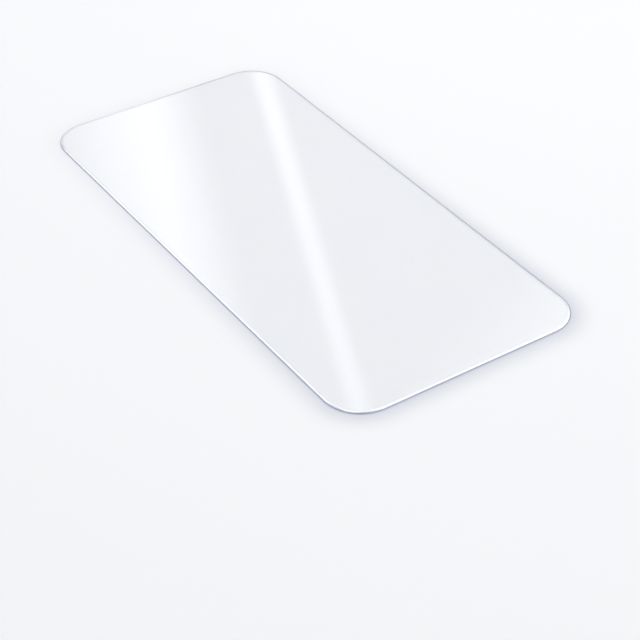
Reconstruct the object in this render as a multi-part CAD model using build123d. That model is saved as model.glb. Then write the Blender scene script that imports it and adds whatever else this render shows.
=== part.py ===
from build123d import *
import os

# A clear glass cover for a phone's screen: one flat sheet with rounded corners.
# It lies flat in millimetres, X across, Y along and Z up, with the origin in the
# middle of the underside, which is the face that sticks to the screen.

# driving sizes
sheet_width = 70.0
sheet_length = 146.0
sheet_thickness = 0.40
corner_radius = 10.0
curve_width = 0.70  # how far the polished curve reaches in from the outline
wall_height = 0.12  # upright wall that is left under the curve
rim_chamfer = 0.06  # small bevel that breaks the lower rim

# sizes that follow from them
wall_top = rim_chamfer + wall_height


def edge_section():
    # the edge seen end on, from the flat of the sheet out to the wall
    outer = sheet_width / 2
    inner = outer - curve_width
    flat_top = (inner, sheet_thickness)
    flat_bottom = (inner, 0)
    below = Polyline(flat_bottom, (outer - rim_chamfer, 0), (outer, rim_chamfer), (outer, wall_top))
    curve = TangentArc(flat_top, (outer, wall_top), tangent=(1, 0))
    return Plane.XZ * make_face([below, curve, Line(flat_top, flat_bottom)])


def polished_edge():
    # the section carried once round the outline, through all four corners
    outline = RectangleRounded(sheet_width, sheet_length, corner_radius).wire()
    return sweep(edge_section(), path=outline)


def flat_middle():
    # the even pane inside the edge
    return extrude(
        RectangleRounded(
            sheet_width - 2 * curve_width,
            sheet_length - 2 * curve_width,
            corner_radius - curve_width,
        ),
        amount=sheet_thickness,
    )


def glass_sheet():
    return flat_middle() + polished_edge()


os.makedirs("parts", exist_ok=True)
export_step(glass_sheet(), "parts/glass_sheet.step")
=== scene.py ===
import math
import bpy
from mathutils import Matrix, Vector


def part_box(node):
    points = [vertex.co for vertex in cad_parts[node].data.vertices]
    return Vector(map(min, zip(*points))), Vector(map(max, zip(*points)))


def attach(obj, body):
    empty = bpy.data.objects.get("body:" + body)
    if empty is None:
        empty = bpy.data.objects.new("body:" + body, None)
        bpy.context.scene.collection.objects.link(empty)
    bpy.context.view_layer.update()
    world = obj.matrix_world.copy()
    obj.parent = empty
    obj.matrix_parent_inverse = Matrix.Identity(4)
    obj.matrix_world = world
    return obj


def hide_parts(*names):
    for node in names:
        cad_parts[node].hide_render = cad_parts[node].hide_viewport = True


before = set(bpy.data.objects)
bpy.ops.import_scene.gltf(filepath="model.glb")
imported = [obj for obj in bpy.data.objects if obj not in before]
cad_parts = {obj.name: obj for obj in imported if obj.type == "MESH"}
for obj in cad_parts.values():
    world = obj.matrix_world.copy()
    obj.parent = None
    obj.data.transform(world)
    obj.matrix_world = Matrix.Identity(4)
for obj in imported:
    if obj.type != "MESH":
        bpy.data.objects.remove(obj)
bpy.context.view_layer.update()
sheetLow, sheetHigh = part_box("glass_sheet")
sheetHalf = (sheetHigh - sheetLow) / 2
print("frame loaded, sheet", [round(side * 1000, 2) for side in sheetHigh - sheetLow], "mm")


# a socket of a node tree: sums written with it become Math nodes
class Wire:
    def __init__(self, tree, socket=None):
        self.tree = tree
        self.socket = socket

    def feed(self, target, value):
        if isinstance(value, Wire):
            self.tree.links.new(value.socket, target)
        else:
            target.default_value = value

    # any node: settings first, then values or links of its sockets
    def make(self, kind, settings=None, sockets=None, out=0):
        node = self.tree.nodes.new(kind)
        for name, value in (settings or {}).items():
            setattr(node, name, value)
        for name, value in (sockets or {}).items():
            self.feed(node.inputs[name], value)
        return Wire(self.tree, node.outputs[out])

    def sum(self, operation, *values):
        return self.make("ShaderNodeMath", {"operation": operation}, dict(enumerate(values)))

    def __add__(self, other):
        return self.sum("ADD", self, other)

    def __radd__(self, other):
        return self.sum("ADD", other, self)

    def __sub__(self, other):
        return self.sum("SUBTRACT", self, other)

    def __rsub__(self, other):
        return self.sum("SUBTRACT", other, self)

    def __mul__(self, other):
        return self.sum("MULTIPLY", self, other)

    def __rmul__(self, other):
        return self.sum("MULTIPLY", other, self)

    def __truediv__(self, other):
        return self.sum("DIVIDE", self, other)

    def __rtruediv__(self, other):
        return self.sum("DIVIDE", other, self)

    def __pow__(self, other):
        return self.sum("POWER", self, other)

    def __rpow__(self, other):
        return self.sum("POWER", other, self)

    def clip(self):
        return self.make("ShaderNodeClamp", None, {"Value": self})

    # rises from nothing to one at its peak and falls again, over two separate widths
    def tent(self, peak, before, after):
        return self.sum("MINIMUM", (self - (peak - before)) / before, (peak + after - self) / after).clip()

    def vector(self, operation, *values, out=0):
        return self.make("ShaderNodeVectorMath", {"operation": operation}, dict(enumerate(values)), out)

    def part(self, axis):
        return self.make("ShaderNodeSeparateXYZ", None, {0: self}, axis)

    def noise(self, place, scale, detail):
        return self.make("ShaderNodeTexNoise", None, {"Vector": place, "Scale": scale, "Detail": detail})

    # sockets 0, 6 and 7 of a Mix node are its factor and its two colours, and output 2 the mixed colour
    def blend(self, share, low, high):
        return self.make("ShaderNodeMix", {"data_type": "RGBA"}, {0: share, 6: low, 7: high}, 2)


# plain holds the values that are the same all over the surface
def newMaterial(name, plain):
    material = bpy.data.materials.new(name)
    material.use_nodes = True
    shader = material.node_tree.nodes["Principled BSDF"]
    for socket, value in plain.items():
        shader.inputs[socket].default_value = value
    wire = Wire(material.node_tree)
    place = wire.make("ShaderNodeTexCoord", out="Object")
    return material, shader.inputs, wire, place


# the flats: clear glass, a touch cool, with a trace of uneven polish
flatGlass = {
    "plain": {"Transmission Weight": 1, "IOR": 1.5},
    "clear": (0.99, 0.993, 0.999, 1),
    "cool": (0.978, 0.985, 0.996, 1),
    "roughness": 0.02,
    "haze": 0.02,
    "hazeScale": 40,
}

# the polished curve: clear with a trace of lavender, and a high gloss that catches the light
rimGlass = {
    "plain": {
        "Transmission Weight": 0.8,
        "IOR": 1.5,
        "Coat Weight": 1,
        "Coat Roughness": 0.06,
        "Coat IOR": 2.7,
    },
    "clear": (0.93, 0.945, 0.995, 1),
    "cool": (0.89, 0.91, 0.98, 1),
    "roughness": 0.06,
    "haze": 0.06,
    "hazeScale": 400,
}

# the ground wall and bevel: pale lavender grey
groundEdge = {
    "plain": {"IOR": 1.5},
    "clear": (0.82, 0.85, 0.97, 1),
    "cool": (0.73, 0.77, 0.91, 1),
    "roughness": 0.40,
    "haze": 0.15,
    "hazeScale": 3000,
}

# painted shade: dark lavender lines that draw the sheet's outline in place of the dark line glass edges
# show, on the lip of the curve and a ring of the underside
paintedEdgeShade = {
    "plain": {"IOR": 1.5},
    "clear": (0.36, 0.38, 0.62, 1),
    "cool": (0.30, 0.32, 0.55, 1),
    "roughness": 0.40,
    "haze": 0.15,
    "hazeScale": 3000,
}


hazeDetail = 3  # how fine the cloud in each finish goes


# colour and gloss drift a little with a fine cloud
def makeGlass(name, look):
    material, inputs, wire, place = newMaterial(name, look["plain"])
    cloud = wire.noise(place, look["hazeScale"], hazeDetail)
    wire.feed(inputs["Base Color"], wire.blend(cloud, look["clear"], look["cool"]))
    wire.feed(inputs["Roughness"], look["roughness"] + cloud * look["haze"])
    return material


# the sheet's form in metres; its outer sizes come from the frame
sheetForm = {
    "corner": 0.010,
    "curveWidth": 0.0007,
    "wallHeight": 0.00012,
    "chamfer": 0.00006,
    "edgeShadeRing": 0.00024,  # width of the ring round the underside painted dark as edge shade
    "cornerSteps": 48,
    "curveSteps": 14,
    "shadedLipSteps": 2,  # steps of the curve, up from the wall, painted dark as edge shade too
    "holdIn": 0.0002,  # width of the flat rings that keep the flats' shading level
}


# the rounded outline, drawn in by an inset, from the near right corner round
def outlineRing(inset, height, form):
    ring = []
    steps = form["cornerSteps"]
    reach = form["corner"] - inset
    for corner, (sideX, sideY) in enumerate([(1, -1), (1, 1), (-1, 1), (-1, -1)]):
        middleX = sideX * (sheetHalf.x - form["corner"])
        middleY = sideY * (sheetHalf.y - form["corner"])
        for step in range(steps + 1):
            turn = math.radians(90 * (corner - 1 + step / steps))
            ring.append((middleX + reach * math.cos(turn), middleY + reach * math.sin(turn), height))
    return ring


# places of the finishes among the sheet's materials
flatFinish, curveFinish, groundFinish, edgeShadeFinish = range(4)


# each ring's inset and height, the finish of the band above it and whether its line is crisp,
# from the flat below round the rim to the flat above
def rimSection(form, top):
    chamfer = form["chamfer"]
    width = form["curveWidth"]
    drop = top - chamfer - form["wallHeight"]
    radius = (width**2 + drop**2) / (2 * drop)
    spread = math.asin(width / radius)
    ring = chamfer + form["edgeShadeRing"]
    section = [
        (ring + form["holdIn"], 0, flatFinish, False),
        (ring, 0, edgeShadeFinish, False),
        (chamfer, 0, groundFinish, True),
        (0, chamfer, groundFinish, True),
    ]
    for step in range(form["curveSteps"]):
        turn = spread * (1 - step / form["curveSteps"])
        # the lowest steps of the curve take the painted edge shade
        finish = edgeShadeFinish if step < form["shadedLipSteps"] else curveFinish
        inset = width - radius * math.sin(turn)
        section.append((inset, top - radius * (1 - math.cos(turn)), finish, step == 0))
    section.append((width, top, flatFinish, False))
    section.append((width + form["holdIn"], top, flatFinish, False))
    return section


def makeSheet(form, materials):
    insets, heights, bandFinishes, crispLines = zip(*rimSection(form, sheetHigh.z))
    points = []
    for inset, height in zip(insets, heights):
        points += outlineRing(inset, height, form)
    count = len(points) // len(insets)
    last = len(insets) - 1
    faces = []
    finishes = []
    for band in range(last):
        for step in range(count):
            low = band * count
            after = (step + 1) % count
            faces.append((low + step, low + after, low + count + after, low + count + step))
            finishes.append(bandFinishes[band])
    # the flats: rungs from the right half of the ring to the left
    for base, turned in ((0, True), (last * count, False)):
        for step in range(count // 2 - 1):
            rung = [base + step, base + step + 1, base + count - 2 - step, base + count - 1 - step]
            faces.append(rung[::-1] if turned else rung)
            finishes.append(flatFinish)
    mesh = bpy.data.meshes.new("glassSheet")
    mesh.from_pydata(points, [], faces)
    for material in materials:
        mesh.materials.append(material)
    for face, finish in zip(mesh.polygons, finishes):
        face.use_smooth = True
        face.material_index = finish
    for edge in mesh.edges:
        start, end = (corner // count for corner in edge.vertices)
        edge.use_edge_sharp = start == end and crispLines[start]
    sheet = bpy.data.objects.new("glassSheet", mesh)
    bpy.context.collection.objects.link(sheet)
    return sheet


sheetFinishes = [
    makeGlass("clearGlass", flatGlass),
    makeGlass("polishedRim", rimGlass),
    makeGlass("groundEdge", groundEdge),
    makeGlass("paintedEdgeShade", paintedEdgeShade),
]
glassSheet = makeSheet(sheetForm, sheetFinishes)
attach(glassSheet, "root")
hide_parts("glass_sheet")
print("sheet made:", len(glassSheet.data.polygons), "faces")


# the floor lies a hair below the sheet, with a soft shade painted into its colour along its outline
floorLook = {
    "plain": {"Roughness": 0.8, "Specular IOR Level": 0.2},
    "size": 8.0,
    "gap": 0.00004,
    "pale": (0.97, 0.972, 0.977, 1),
    "shade": (0.715, 0.735, 0.785, 1),
    "shadeInside": 0.0004,
    "shadeOutside": 0.008,
    "shadeFall": 2,  # power by which it thins out
    "shadeMiddle": 0.6,  # its strength beside the middle of the sheet
    "shadeSlope": 0.4,  # what it gains towards the near end and loses towards the far one
    "far": (0.925, 0.93, 0.94, 1),  # even tone of the ground further off
    "farFrom": 0.13,  # metres from the middle at which it begins, and at which it is whole
    "farWhole": 0.5,
}


def makeFloor(look):
    side = look["size"] / 2
    mesh = bpy.data.meshes.new("paleFloor")
    corners = [(-side, -side, 0), (side, -side, 0), (side, side, 0), (-side, side, 0)]
    mesh.from_pydata(corners, [], [(0, 1, 2, 3)])
    material, inputs, wire, place = newMaterial("paleFloor", look["plain"])
    # distance from the rounded outline, less than nothing under the sheet
    corner = sheetForm["corner"]
    straight = sheetHalf - Vector((corner, corner, 0))
    past = wire.vector("SUBTRACT", wire.vector("ABSOLUTE", place), straight)
    away = wire.vector("LENGTH", wire.vector("MAXIMUM", past, (0, 0, 0)), out="Value") - corner
    # painted shade: the floor's colour darkens along the sheet's outline like a shadow, more towards the
    # near end
    strength = look["shadeMiddle"] - place.part("Y") * (look["shadeSlope"] / sheetHalf.y)
    shade = away.tent(0, look["shadeInside"], look["shadeOutside"]) ** look["shadeFall"] * strength
    wire.feed(inputs["Base Color"], wire.blend(shade, look["pale"], look["shade"]))
    # further off the ground keeps its tone to the eye, and lights nothing
    distance = wire.vector("LENGTH", place, out="Value")
    far = ((distance - look["farFrom"]) / (look["farWhole"] - look["farFrom"])).clip()
    rays = ("Is Camera Ray", "Is Glossy Ray", "Is Transmission Ray")
    seen = sum(wire.make("ShaderNodeLightPath", out=ray) for ray in rays).clip()
    nodes = material.node_tree.nodes
    litGround = Wire(material.node_tree, nodes["Principled BSDF"].outputs["BSDF"])
    farGround = wire.make("ShaderNodeEmission", None, {"Color": look["far"]})
    ground = wire.make("ShaderNodeMixShader", None, {0: far * seen, 1: litGround, 2: farGround})
    wire.feed(nodes["Material Output"].inputs["Surface"], ground)
    mesh.materials.append(material)
    floor = bpy.data.objects.new("paleFloor", mesh)
    floor.location.z = sheetLow.z - look["gap"]
    bpy.context.collection.objects.link(floor)


makeFloor(floorLook)
print("floor laid")


cameraView = {
    "azimuth": -34.0,
    "elevation": 38.0,
    "lens": 100.0,
    "sensor": 36.0,
    "frame": 640,  # pixels a side
    "aim": (-0.0189, -0.0377, 0.0),
    "distance": 0.4264,
}


def viewAxes(view):
    turn = math.radians(view["azimuth"])
    rise = math.radians(view["elevation"])
    right = Vector((math.cos(turn), math.sin(turn), 0))
    back = Vector((math.sin(turn) * math.cos(rise), -math.cos(turn) * math.cos(rise), math.sin(rise)))
    return right, back.cross(right), back


def axesMatrix(right, up, back, place):
    matrix = Matrix((right, up, back)).transposed().to_4x4()
    matrix.translation = place
    return matrix


def makeCamera(view):
    right, up, back = viewAxes(view)
    camera = bpy.data.cameras.new("mainView")
    camera.lens = view["lens"]
    camera.sensor_width = view["sensor"]
    holder = bpy.data.objects.new("mainView", camera)
    holder.matrix_world = axesMatrix(right, up, back, Vector(view["aim"]) + back * view["distance"])
    bpy.context.collection.objects.link(holder)
    bpy.context.scene.camera = holder


makeCamera(cameraView)
print("camera set")


# large soft lamps light the sheet and glint on its rim: each stands off towards a point, faces the
# sheet, and has the second of its sides running along the way given
roomLamps = {
    "rearSoftbox": {
        "toward": (-0.13, 0.67, 0.74),
        "along": (0, 1, 0),
        "distance": 1.2,
        "size": (1.05, 0.74),
        "radiance": 1.5,
    },
    "topSoftbox": {
        "toward": (0.03, 0.25, 1.0),
        "along": (1, 1, 0),
        "distance": 0.95,
        "size": (0.30, 1.2),
        "radiance": 1.3,
    },
    "sideSoftbox": {
        "toward": (0.60, 0.065, 0.80),
        "along": (0, 1, 0),
        "distance": 0.95,
        "size": (0.85, 1.15),
        "radiance": 1.7,
    },
    "frontSoftbox": {
        "toward": (-0.17, -0.43, 0.89),
        "along": (0, 1, 0),
        "distance": 0.95,
        "size": (1.2, 0.5),
        "radiance": 1.6,
    },
    "rightSoftbox": {
        "toward": (0.80, 0.28, 0.53),
        "along": (0, 1, 0),
        "distance": 1.0,
        "size": (0.9, 0.65),
        "radiance": 0.5,
    },
    "backSoftbox": {
        "toward": (0.17, 0.93, 0.30),
        "along": (0, 1, 0),
        "distance": 1.2,
        "size": (0.75, 0.45),
        "radiance": 0.75,
    },
}
lampEdge = 0.25  # share of a lamp's width over which its light fades out at each side

# slim ones stand where the flat glass mirrors them to these lines of the frame
streakLamps = {
    "away": 1.0,  # from the aim point
    "overrun": 700,  # pixels past both ends of a line
    "lines": {
        "broadStreak": {"from": (134, 60), "to": (209, 360), "left": 112, "right": 54, "radiance": 1.12},
        "narrowStreak": {"from": (252, 40), "to": (371, 450), "left": 15, "right": 15, "radiance": 1.05},
    },
    "sideTurns": range(30, 301, 45),  # degrees round to fainter copies, for the views from other sides
    "sideShare": 0.4,
}


# full over the middle of a lamp, fading out towards its edges
def softEdge(place):
    middle = 0.5
    return (place.tent(middle, middle, middle) / (2 * lampEdge)).clip()


def addLamp(name, matrix, size, radiance, glowAcross):
    lamp = bpy.data.lights.new(name, "AREA")
    lamp.shape = "RECTANGLE"
    lamp.size, lamp.size_y = size
    lamp.energy = radiance * math.pi * size[0] * size[1]
    lamp.use_nodes = True
    wire = Wire(lamp.node_tree)
    place = wire.make("ShaderNodeNewGeometry", out="Parametric")
    glow = glowAcross(place.part("X")) * softEdge(place.part("Y"))
    wire.feed(lamp.node_tree.nodes["Emission"].inputs["Strength"], glow)
    holder = bpy.data.objects.new(name, lamp)
    holder.matrix_world = matrix
    holder.visible_camera = False
    bpy.context.collection.objects.link(holder)


def makeRoomLamps(lamps):
    for name, lamp in lamps.items():
        back = Vector(lamp["toward"]).normalized()
        right = Vector(lamp["along"]).cross(back).normalized()
        matrix = axesMatrix(right, back.cross(right), back, back * lamp["distance"])
        addLamp(name, matrix, lamp["size"], lamp["radiance"], softEdge)


# the point behind the flat glass that a pixel shows mirrored in it
def mirrored(pixel, view, depth):
    right, up, back = viewAxes(view)
    focal = view["lens"] / view["sensor"] * view["frame"]
    across = (pixel[0] - view["frame"] / 2) / focal
    down = (pixel[1] - view["frame"] / 2) / focal
    eye = Vector(view["aim"]) + back * view["distance"]
    point = eye + depth * (across * right - down * up - back)
    return Vector((point.x, point.y, 2 * sheetHigh.z - point.z))


def makeStreakLamps(lamps, view, share=1):
    depth = view["distance"] + lamps["away"]
    perPixel = depth * view["sensor"] / view["lens"] / view["frame"]
    facing = mirrored((view["frame"] / 2, view["frame"] / 2), view, depth)
    back = (facing - Vector(view["aim"])).normalized()
    for name, line in lamps["lines"].items():
        start = mirrored(line["from"], view, depth)
        end = mirrored(line["to"], view, depth)
        up = (start - end).normalized()
        right = up.cross(back).normalized()
        width = line["left"] + line["right"]
        middle = (start + end) / 2 + right * (line["right"] - line["left"]) / 2 * perPixel
        size = (width * perPixel, (start - end).length + 2 * lamps["overrun"] * perPixel)
        peak = line["left"] / width

        # brightest along its line, falling to nothing at both sides
        def streakGlow(place):
            return place.tent(peak, peak, 1 - peak)

        matrix = axesMatrix(right, up, back, middle)
        addLamp(name, matrix, size, line["radiance"] * share, streakGlow)


makeRoomLamps(roomLamps)
makeStreakLamps(streakLamps, cameraView)
for sideTurn in streakLamps["sideTurns"]:
    sideView = {**cameraView, "azimuth": cameraView["azimuth"] + sideTurn, "aim": (0, 0, 0)}
    makeStreakLamps(streakLamps, sideView, streakLamps["sideShare"])

# bright at the horizon, dim overhead
worldLook = {"low": (0.90, 0.91, 0.94, 1), "high": (0.245, 0.25, 0.265, 1), "fall": 2}


def makeWorld(look):
    world = bpy.data.worlds.new("studio")
    world.use_nodes = True
    bpy.context.scene.world = world
    wire = Wire(world.node_tree)
    height = wire.make("ShaderNodeTexCoord", out="Generated").part("Z").clip()
    sky = world.node_tree.nodes["Background"].inputs
    wire.feed(sky["Color"], wire.blend((1 - height) ** look["fall"], look["high"], look["low"]))


makeWorld(worldLook)
bpy.context.scene.view_settings.view_transform = "Standard"
bpy.context.scene.cycles.blur_glossy = 0  # light passes the clear glass unblurred
print("lights set")
